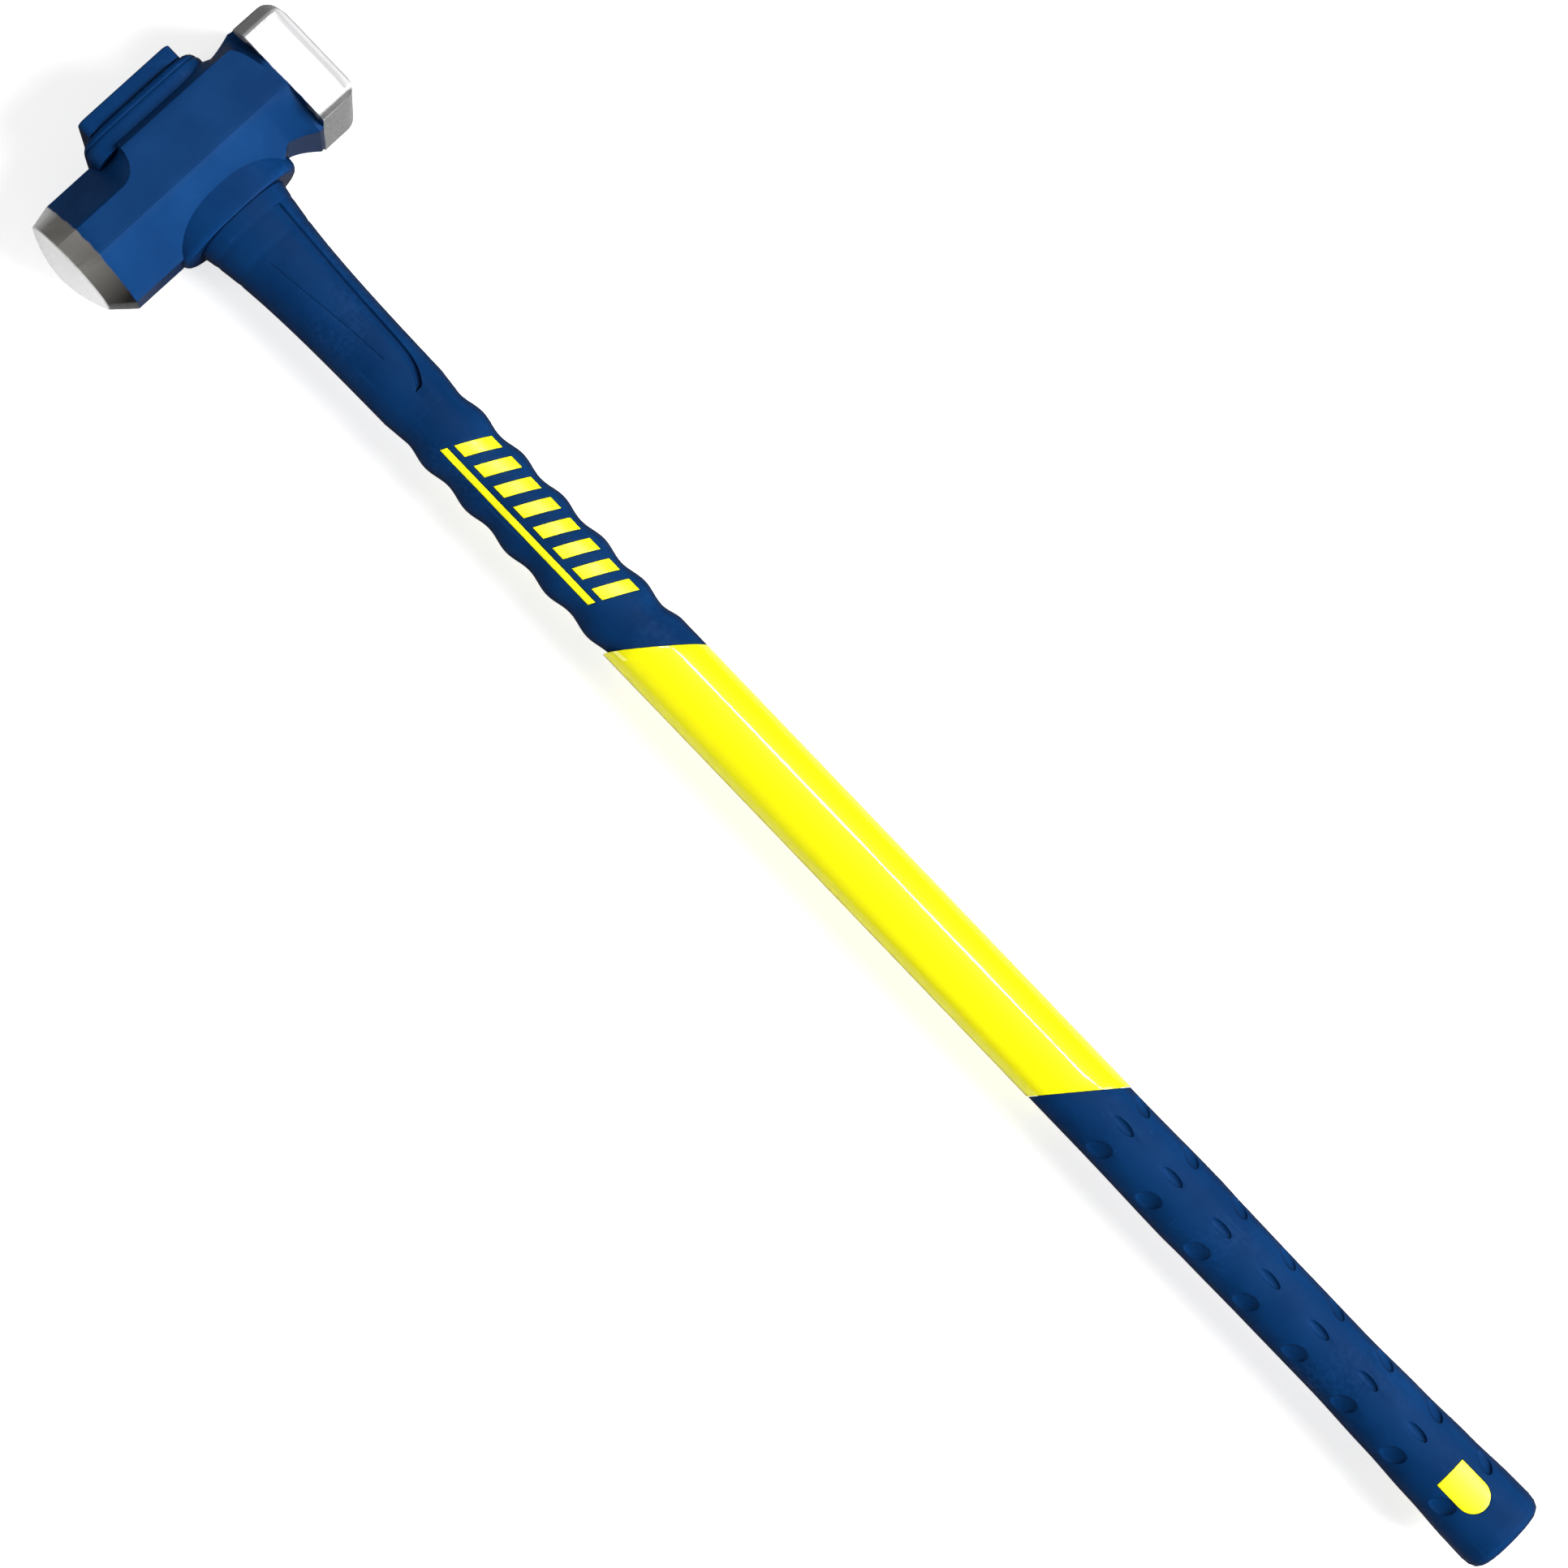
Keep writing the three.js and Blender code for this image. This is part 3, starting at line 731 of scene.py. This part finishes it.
# Row's place across the grip, half length, half width, depth, turn in degrees and count
DIMPLE_ROWS = [(1.9, 6.3, 2.4, 1.5, 0, 7), (-13.2, 6.8, 4.4, 1.8, 40, 8), (15.2, 6.4, 3.6, 1.6, -30, 8)]


def dimple_cutters(side):
    """Flattened balls sunk into the skin, one row after another."""
    cutters = []
    for across, length, width, depth, turn, count in DIMPLE_ROWS:
        for i in range(count):
            x = DIMPLE_START + DIMPLE_PITCH * i
            y = across * MM
            grip_width, grip_depth = size_at(GRIP, x)
            height = surface_height(y, grip_width, grip_depth)
            out = Vector((0, math.copysign(abs(2 * y / grip_width) ** 1.3, y) / grip_width,
                          (2 * height / grip_depth) ** 1.3 / grip_depth * side)).normalized()
            deselect_everything()
            ops.mesh.primitive_uv_sphere_add(segments=28, ring_count=14, radius=MM)
            ball = bpy.context.object
            turned = Matrix.Rotation(math.radians(turn * side), 4, "Z")
            along = turned @ Matrix.Diagonal((length, width, depth, 1))
            ball.matrix_world = (Matrix.Translation((x, y, axis_z + side * height))
                                 @ Vector((0, 0, 1)).rotation_difference(out).to_matrix().to_4x4() @ along)
            cutters.append(name_new_piece("dimple"))
    return join(cutters, "dimples")


def make_grip():
    grip = oval_loft("butt_grip", GRIP, segments=20)
    slice_off(grip, grip_start, -1)
    inlays = set_in(grip, GRIP, badge_prisms)
    for side in (1, -1):
        combine(grip, dimple_cutters(side))
    combine(grip, straight_oval("bore", grip_start - 60 * MM, jacket_high.x + GAP, spigot, GAP))
    soften(grip, 0.3 * MM, angle=32, segments=2)
    return grip, inlays


grip, badges = make_grip()
inlay_pairs = name_inlays(separate(stripes) + separate(badges))

# Shader groups --------------------------------------------------------------------------------------------


def add(tree, kind, inputs=None, **settings):
    """A node with its settings; each input is a number, a colour or another node's output."""
    node = tree.nodes.new(kind)
    for name, value in settings.items():
        setattr(node, name, value)
    for name, value in (inputs or {}).items():
        if isinstance(value, bpy.types.NodeSocket):
            tree.links.new(value, node.inputs[name])
        else:
            node.inputs[name].default_value = value
    return node


def noise(tree, place, scale, detail=2.0, stretch=(1, 1, 1)):
    mapped = add(tree, "ShaderNodeMapping", {"Vector": place, "Scale": stretch})
    settings = {"Vector": mapped.outputs[0], "Scale": scale, "Detail": detail}
    return add(tree, "ShaderNodeTexNoise", settings).outputs[0]


def spread(tree, value, low, high, to_low=0.0, to_high=1.0):
    """Maps low..high onto another range, held at its ends."""
    settings = {"Value": value, "From Min": low, "From Max": high, "To Min": to_low, "To Max": to_high}
    return add(tree, "ShaderNodeMapRange", settings).outputs[0]


def blend(tree, factor, first, second, kind="MIX"):
    """A blend of two colours."""
    mixed = add(tree, "ShaderNodeMix", {0: factor, 6: first, 7: second}, data_type="RGBA", blend_type=kind)
    return mixed.outputs[2]


def between(tree, factor, first, second):
    """A blend of two values."""
    return add(tree, "ShaderNodeMix", {0: factor, 2: first, 3: second}, data_type="FLOAT").outputs[0]


def sums(tree, kind, first, second):
    return add(tree, "ShaderNodeMath", {0: first, 1: second}, operation=kind).outputs[0]


def new_group(name, outputs, inputs=()):
    """A shader node group with a Vector input, more inputs of the caller's, and value outputs."""
    group = bpy.data.node_groups.new(name, "ShaderNodeTree")
    group.interface.new_socket("Vector", in_out="INPUT", socket_type="NodeSocketVector")
    for socket in inputs:
        group.interface.new_socket(socket, in_out="INPUT", socket_type="NodeSocketFloat")
    for socket in outputs:
        group.interface.new_socket(socket, in_out="OUTPUT", socket_type="NodeSocketFloat")
    return group, group.nodes.new("NodeGroupInput").outputs, group.nodes.new("NodeGroupOutput").inputs


def make_moulded_skin():
    """Fine stipple, soft patches and handling marks for anything moulded."""
    tree, given, out = new_group("moulded skin", ("Stipple", "Patches", "Rubbed"), ("Grain",))
    cells = {"Vector": given["Vector"], "Scale": given["Grain"]}
    stipple = add(tree, "ShaderNodeTexVoronoi", cells).outputs[0]
    fine = noise(tree, given["Vector"], 2600, 1)
    tree.links.new(sums(tree, "ADD", stipple, sums(tree, "MULTIPLY", fine, 0.6)), out["Stipple"])
    tree.links.new(spread(tree, noise(tree, given["Vector"], 38, 4), 0.35, 0.65), out["Patches"])
    rubbed = sums(tree, "MULTIPLY", spread(tree, noise(tree, given["Vector"], 24, 3), 0.5, 0.7),
                  spread(tree, noise(tree, given["Vector"], 420, 4), 0.42, 0.6))
    tree.links.new(rubbed, out["Rubbed"])
    return tree


def make_scratches():
    """Sparse hairline scratches in two directions."""
    tree, given, out = new_group("hairline scratches", ("Mask",))
    masks = []
    for turn, stretch, seed in [(0.5, (1, 0.02, 0.3), 11), (-0.9, (0.02, 1, 0.3), 23)]:
        mapped = add(tree, "ShaderNodeMapping", {"Vector": given["Vector"], "Location": (seed, seed, 0),
                                                 "Rotation": (0, 0, turn), "Scale": stretch}).outputs[0]
        lines = add(tree, "ShaderNodeTexNoise", {"Vector": mapped, "Scale": 900, "Detail": 1}).outputs[0]
        broken = noise(tree, given["Vector"], 30 + seed, 2)
        masks.append(sums(tree, "MULTIPLY", spread(tree, lines, 0.7, 0.76), spread(tree, broken, 0.5, 0.6)))
    tree.links.new(sums(tree, "MAXIMUM", *masks), out["Mask"])
    return tree


def make_flow_lines():
    """Lines drawn out along X: pulled fibres, extrusion marks or the marks of a grinding belt."""
    tree, given, out = new_group("flow lines", ("Broad", "Fine"))
    tree.links.new(noise(tree, given["Vector"], 120, 3, (0.03, 1, 1)), out["Broad"])
    tree.links.new(noise(tree, given["Vector"], 1500, 2, (0.015, 1, 1)), out["Fine"])
    return tree


MOULDED_SKIN = make_moulded_skin()
SCRATCHES = make_scratches()
FLOW_LINES = make_flow_lines()

# Materials ------------------------------------------------------------------------------------------------


def new_material(name, settings):
    material = bpy.data.materials.new(name)
    material.use_nodes = True
    tree = material.node_tree
    shader = tree.nodes["Principled BSDF"]
    for socket, value in settings.items():
        shader.inputs[socket].default_value = value
    place = add(tree, "ShaderNodeTexCoord").outputs["Object"]
    return material, tree, shader, place


def fed(tree, group, place, inputs=None):
    """One use of a group, with its place and its other inputs."""
    node = tree.nodes.new("ShaderNodeGroup")
    node.node_tree = group
    tree.links.new(place, node.inputs["Vector"])
    for name, value in (inputs or {}).items():
        node.inputs[name].default_value = value
    return node.outputs


def bump(tree, shader, height, strength, distance):
    node = add(tree, "ShaderNodeBump", {"Height": height, "Strength": strength, "Distance": distance})
    tree.links.new(node.outputs[0], shader.inputs["Normal"])


def paint_edge_shade(tree, colour, deep, low=0.32, high=0.9):
    """Painted shade: lets a colour fall off to a darker one where the surface turns away from the camera."""
    facing = add(tree, "ShaderNodeLayerWeight", {"Blend": 0.5}).outputs["Facing"]
    return blend(tree, spread(tree, facing, low, high), colour, (*deep, 1))


def moulded(name, dark, light, roughness, grain=900, relief=0.12, deep=None, settings=None):
    """Rubber or plastic from a mould: patchy colour, a fine stipple, rubbed places and a few scratches, and
    with `deep` a painted shade darkening it where it turns away from the camera.
    """
    material, tree, shader, place = new_material(name, settings or {})
    skin = fed(tree, MOULDED_SKIN, place, {"Grain": grain})
    scratched = fed(tree, SCRATCHES, place)["Mask"]
    colour = blend(tree, skin["Patches"], (*dark, 1), (*light, 1))
    rubbed = sums(tree, "MULTIPLY", skin["Rubbed"], 0.35)
    worn = sums(tree, "MAXIMUM", rubbed, sums(tree, "MULTIPLY", scratched, 0.5))
    pale = [min(1, channel * 1.35 + 0.004) for channel in light]
    colour = blend(tree, worn, colour, (*pale, 1))
    # With `deep` given, the colour gets painted shade: it falls off to `deep` at the edges
    tree.links.new(paint_edge_shade(tree, colour, deep) if deep else colour, shader.inputs["Base Color"])
    rough = spread(tree, skin["Rubbed"], 0, 1, roughness, roughness - 0.12)
    rough = sums(tree, "ADD", rough, sums(tree, "MULTIPLY", scratched, 0.1))
    tree.links.new(rough, shader.inputs["Roughness"])
    bump(tree, shader, skin["Stipple"], relief, 0.00012)
    return material


def drawn(name, dark, light, roughness, relief, deep, settings):
    """A pulled or extruded surface with lines along X, and painted shade darkening it to `deep` where it
    turns away from the camera.
    """
    material, tree, shader, place = new_material(name, settings)
    lines = fed(tree, FLOW_LINES, place)
    scratched = fed(tree, SCRATCHES, place)["Mask"]
    colour = blend(tree, spread(tree, lines["Broad"], 0.35, 0.65), (*dark, 1), (*light, 1))
    colour = blend(tree, sums(tree, "MULTIPLY", scratched, 0.4), colour, (*light, 1))
    # Painted shade: the colour falls off to `deep` at the edges
    tree.links.new(paint_edge_shade(tree, colour, deep, 0.78), shader.inputs["Base Color"])
    rough = spread(tree, lines["Fine"], 0.3, 0.7, roughness - 0.05, roughness + 0.07)
    tree.links.new(rough, shader.inputs["Roughness"])
    height = sums(tree, "ADD", lines["Broad"], sums(tree, "MULTIPLY", lines["Fine"], 0.3))
    bump(tree, shader, height, relief, 0.0002)
    return material


def clear_resin(name, dark, light):
    """Cured epoxy with drawn-in bubbles."""
    material, tree, shader, place = new_material(name, {"Roughness": 0.22, "Coat Weight": 0.4})
    cells = add(tree, "ShaderNodeTexVoronoi", {"Vector": place, "Scale": 420}).outputs[0]
    bubbles = spread(tree, cells, 0.1, 0.2, 1, 0)
    colour = blend(tree, noise(tree, place, 60, 3), (*dark, 1), (*light, 1))
    colour = blend(tree, sums(tree, "MULTIPLY", bubbles, 0.5), colour, (0.8, 0.7, 0.5, 1))
    tree.links.new(colour, shader.inputs["Base Color"])
    bump(tree, shader, bubbles, 0.3, 0.0002)
    return material


def head_finish():
    """Blue paint over the forging, with both ends ground to bare steel past a line across the head; painted
    shade on the paint's edges, and painted shade and highlights on the bevel and rim.
    """
    material, tree, shader, place = new_material("painted and ground steel", {"Specular IOR Level": 0.02})
    along = add(tree, "ShaderNodeSeparateXYZ", {0: place}).outputs["Y"]
    ragged = sums(tree, "MULTIPLY", sums(tree, "SUBTRACT", noise(tree, place, 160, 3), 0.5), 0.0016)
    edge = sums(tree, "ADD", along, ragged)
    rim = spread(tree, edge, rim_start - 0.0004, rim_start + 0.0003)
    face = spread(tree, edge, bevel_end - 0.0002, bevel_end + 0.0006, 1, 0)
    bare = sums(tree, "MAXIMUM", rim, face)

    skin = fed(tree, MOULDED_SKIN, place, {"Grain": 260})
    lines = fed(tree, FLOW_LINES, place)
    scratched = fed(tree, SCRATCHES, place)["Mask"]
    paint = blend(tree, skin["Patches"], (0.004, 0.036, 0.133, 1), (0.0055, 0.045, 0.158, 1))
    paint = blend(tree, sums(tree, "MULTIPLY", scratched, 0.3), paint, (0.02, 0.075, 0.19, 1))
    # Painted shade: the paint falls off to near-black blue where it turns away from the camera
    paint = paint_edge_shade(tree, paint, EDGE_SHADE_BLUE, 0.5)

    # The bevel is warm grey with painted shade darkening it away from the cap and a painted highlight near
    # white at its cap end; the round face inside it is bright
    across = add(tree, "ShaderNodeSeparateXYZ", {0: place}).outputs["X"]
    low = spread(tree, across, mix(head_top, head_bottom, 0.35), mix(head_top, head_bottom, 0.95))
    bevel = blend(tree, low, (0.24, 0.23, 0.215, 1), (0.006, 0.0055, 0.005, 1))
    cap_end_highlight = spread(tree, across, head_top + 1 * MM, head_top + 9 * MM, 1, 0)
    bevel = blend(tree, cap_end_highlight, bevel, (0.8, 0.8, 0.8, 1))
    face_edge = FACE_CROWN - half_length
    round_face = spread(tree, along, face_edge - 0.0004, face_edge + 0.0006, 1, 0)
    ground = blend(tree, round_face, bevel, (0.97, 0.97, 0.97, 1))
    # Painted light on the bare rim: its side flats carry a painted highlight, near white, while its cap-side
    # chamfer, handle-side chamfer and end face are painted shade in dark grey
    cap_side_shade = spread(tree, across, head_top + RIM_CHAMFER * 0.7, head_top + RIM_CHAMFER, 1, 0)
    heel_shade = spread(tree, across, head_bottom - RIM_HEEL, head_bottom - RIM_HEEL * 0.6)
    rim_painted_light = blend(tree, cap_side_shade, (0.86, 0.86, 0.87, 1), (0.2, 0.2, 0.2, 1))
    rim_painted_light = blend(tree, heel_shade, rim_painted_light, (0.135, 0.135, 0.135, 1))
    end_face_shade = spread(tree, along, half_length - RIM_CROWN - 2.4 * MM, half_length - RIM_CROWN)
    rim_painted_light = blend(tree, end_face_shade, rim_painted_light, (0.2, 0.2, 0.2, 1))
    ground = blend(tree, rim, ground, rim_painted_light)
    streaks = spread(tree, lines["Fine"], 0.3, 0.75, 0, 0.35)
    ground = blend(tree, streaks, ground, (0.7, 0.7, 0.71, 1), "MULTIPLY")
    tree.links.new(blend(tree, bare, paint, ground), shader.inputs["Base Color"])
    metal = between(tree, face, sums(tree, "MULTIPLY", rim, 0.5), 0.15)
    tree.links.new(metal, shader.inputs["Metallic"])
    painted_rough = spread(tree, skin["Rubbed"], 0, 1, 0.46, 0.36)
    steel_rough = spread(tree, lines["Fine"], 0.3, 0.7, 0.24, 0.42)
    rough = between(tree, bare, painted_rough, steel_rough)
    tree.links.new(rough, shader.inputs["Roughness"])
    relief = between(tree, bare, skin["Stipple"], lines["Fine"])
    bump(tree, shader, sums(tree, "SUBTRACT", relief, sums(tree, "MULTIPLY", bare, 0.9)), 0.07, 0.0002)
    return material


# Painted shade: the near-black blue that the blue paint and rubbers fall off to at their edges
EDGE_SHADE_BLUE = (0.0005, 0.004, 0.018)
blue_rubber = moulded("blue rubber", (0.0014, 0.024, 0.094), (0.0024, 0.032, 0.12), 0.55, deep=EDGE_SHADE_BLUE,
                      settings={"Specular IOR Level": 0.02})
cap_rubber = moulded("cap rubber", (0.0022, 0.031, 0.122), (0.0036, 0.042, 0.155), 0.5, relief=0.08,
                     deep=EDGE_SHADE_BLUE, settings={"Specular IOR Level": 0.02})
inlay_yellow = moulded("inlay yellow", (0.9, 0.86, 0.004), (1, 0.97, 0.008), 0.4, grain=1400, relief=0.05,
                       settings={"Specular IOR Level": 0.3})
seal_rubber = moulded("seal rubber", (0.014, 0.015, 0.017), (0.026, 0.028, 0.03), 0.7, grain=1200)
plug_plastic = moulded("plug plastic", (0.03, 0.03, 0.032), (0.05, 0.05, 0.052), 0.4, grain=700)
# The dark amber given to the jacket and the brown given to the core are painted shade at their edges
jacket_yellow = drawn("jacket yellow", (0.96, 0.9, 0.001), (1, 0.97, 0.002), 0.35, 0.02, (0.3, 0.19, 0),
                      {"Specular IOR Level": 0.08, "Coat Weight": 0.65, "Coat Roughness": 0.04})
core_glass = drawn("core fibreglass", (0.42, 0.38, 0.24), (0.72, 0.68, 0.52), 0.45, 0.35,
                   (0.3, 0.26, 0.16), {})
epoxy = clear_resin("epoxy", (0.28, 0.13, 0.03), (0.5, 0.27, 0.08))
painted_steel = head_finish()


def dress(piece, material):
    piece.data.materials.clear()
    piece.data.materials.append(material)


for piece, material in [(head, painted_steel), (cap, cap_rubber), (bead, cap_rubber), (collar, cap_rubber),
                        (neck, blue_rubber), (grip, blue_rubber), (jacket, jacket_yellow)]:
    dress(piece, material)
NODE_MATERIALS = {"hammer_head": painted_steel, "handle_jacket": jacket_yellow, "core_rod": core_glass,
                  "eye_potting": epoxy, "eye_seal": seal_rubber, "butt_plug": plug_plastic}
for name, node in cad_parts.items():
    inlay = name.startswith(tuple(INLAY_KINDS))
    dress(node, inlay_yellow if inlay else NODE_MATERIALS.get(name, blue_rubber))

# Assembly -------------------------------------------------------------------------------------------------

PARTS = [(head, "hammer_head", "head_paint"), (cap, "eye_cap", "blue_rubber"),
         (bead, "cap_gasket", "blue_rubber"),
         (collar, "shock_collar", "blue_rubber"), (neck, "neck_sleeve", "blue_rubber"),
         (jacket, "handle_jacket", "jacket_yellow"), (grip, "grip_sleeve", "blue_rubber")]
for piece, node in inlay_pairs:
    dress(piece, inlay_yellow)
    PARTS.append((piece, node, "inlay_yellow"))
for piece, node, slot in PARTS:
    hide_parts(node)
    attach(piece, "root")

# Stage and light ------------------------------------------------------------------------------------------


def make_floor():
    deselect_everything()
    ops.mesh.primitive_plane_add(size=12, location=(0, 0, -0.0005))
    floor = bpy.context.object
    floor.name = "floor"
    material, tree, shader, place = new_material("pale floor", {"Roughness": 0.9, "Specular IOR Level": 0.1,
                                                                "Emission Color": (1, 1, 1, 1)})
    seen = add(tree, "ShaderNodeLightPath").outputs["Is Camera Ray"]
    tree.links.new(sums(tree, "MULTIPLY", seen, 0.7), shader.inputs["Emission Strength"])
    tint = blend(tree, noise(tree, place, 6, 3), (0.78, 0.78, 0.78, 1), (0.82, 0.82, 0.82, 1))
    tree.links.new(tint, shader.inputs["Base Color"])
    dress(floor, material)


def make_lamp(name, place, aim, size, power):
    data = bpy.data.lights.new(name, "AREA")
    data.shape = "RECTANGLE"
    data.size, data.size_y = size
    data.energy = power
    lamp = bpy.data.objects.new(name, data)
    bpy.context.scene.collection.objects.link(lamp)
    lamp.location = place
    lamp.rotation_euler = (Vector(place) - Vector(aim)).to_track_quat("Z", "Y").to_euler()
    return lamp


def make_light():
    world = bpy.data.worlds.new("studio")
    bpy.context.scene.world = world
    world.use_nodes = True
    world.node_tree.nodes["Background"].inputs["Color"].default_value = (1, 1, 1, 1)
    world.node_tree.nodes["Background"].inputs["Strength"].default_value = 0.14
    make_lamp("key", (2.9, 1.85, 2.7), (0, 0, 0), (2.4, 2.4), 395)
    make_lamp("fill", (-0.9, -2.1, 0.8), (-0.2, 0, 0), (1.2, 0.8), 17)
    strip = make_lamp("strip", (0.1, 0.64, 1.5), (0.1, 0, 0), (1.9, 0.03), 46)
    strip.visible_diffuse = False
    bpy.context.scene.view_settings.view_transform = "Standard"


make_floor()
make_light()
